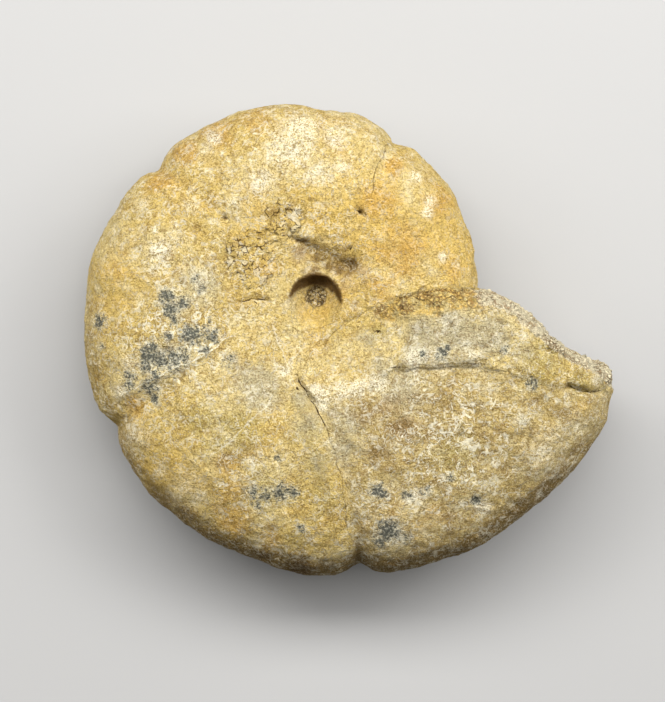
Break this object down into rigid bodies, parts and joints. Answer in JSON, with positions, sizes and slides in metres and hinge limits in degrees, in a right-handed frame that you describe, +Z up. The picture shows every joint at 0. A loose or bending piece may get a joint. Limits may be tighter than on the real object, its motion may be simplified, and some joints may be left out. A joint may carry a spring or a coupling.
{
  "type": "ammonite fossil",
  "caption": "Ammonite fossil: a smooth, tightly coiled tan stone cast with faint constrictions, a small pit at its centre and a broken mouth.",
  "frame": {"origin": "centre of the bounding box at the plane the fossil lies on", "axes": "+Z up through the upper flank, +X towards the broken mouth, +Y towards the narrow start of the last whorl"},
  "size_m": [0.1044, 0.093, 0.0347],
  "materials": {
    "stone": "matt, worn, tan to ochre with whitish and blue-grey patches"
  },
  "bodies": {
    "root": {"ammonite": "stone"}
  },
  "joints": []
}
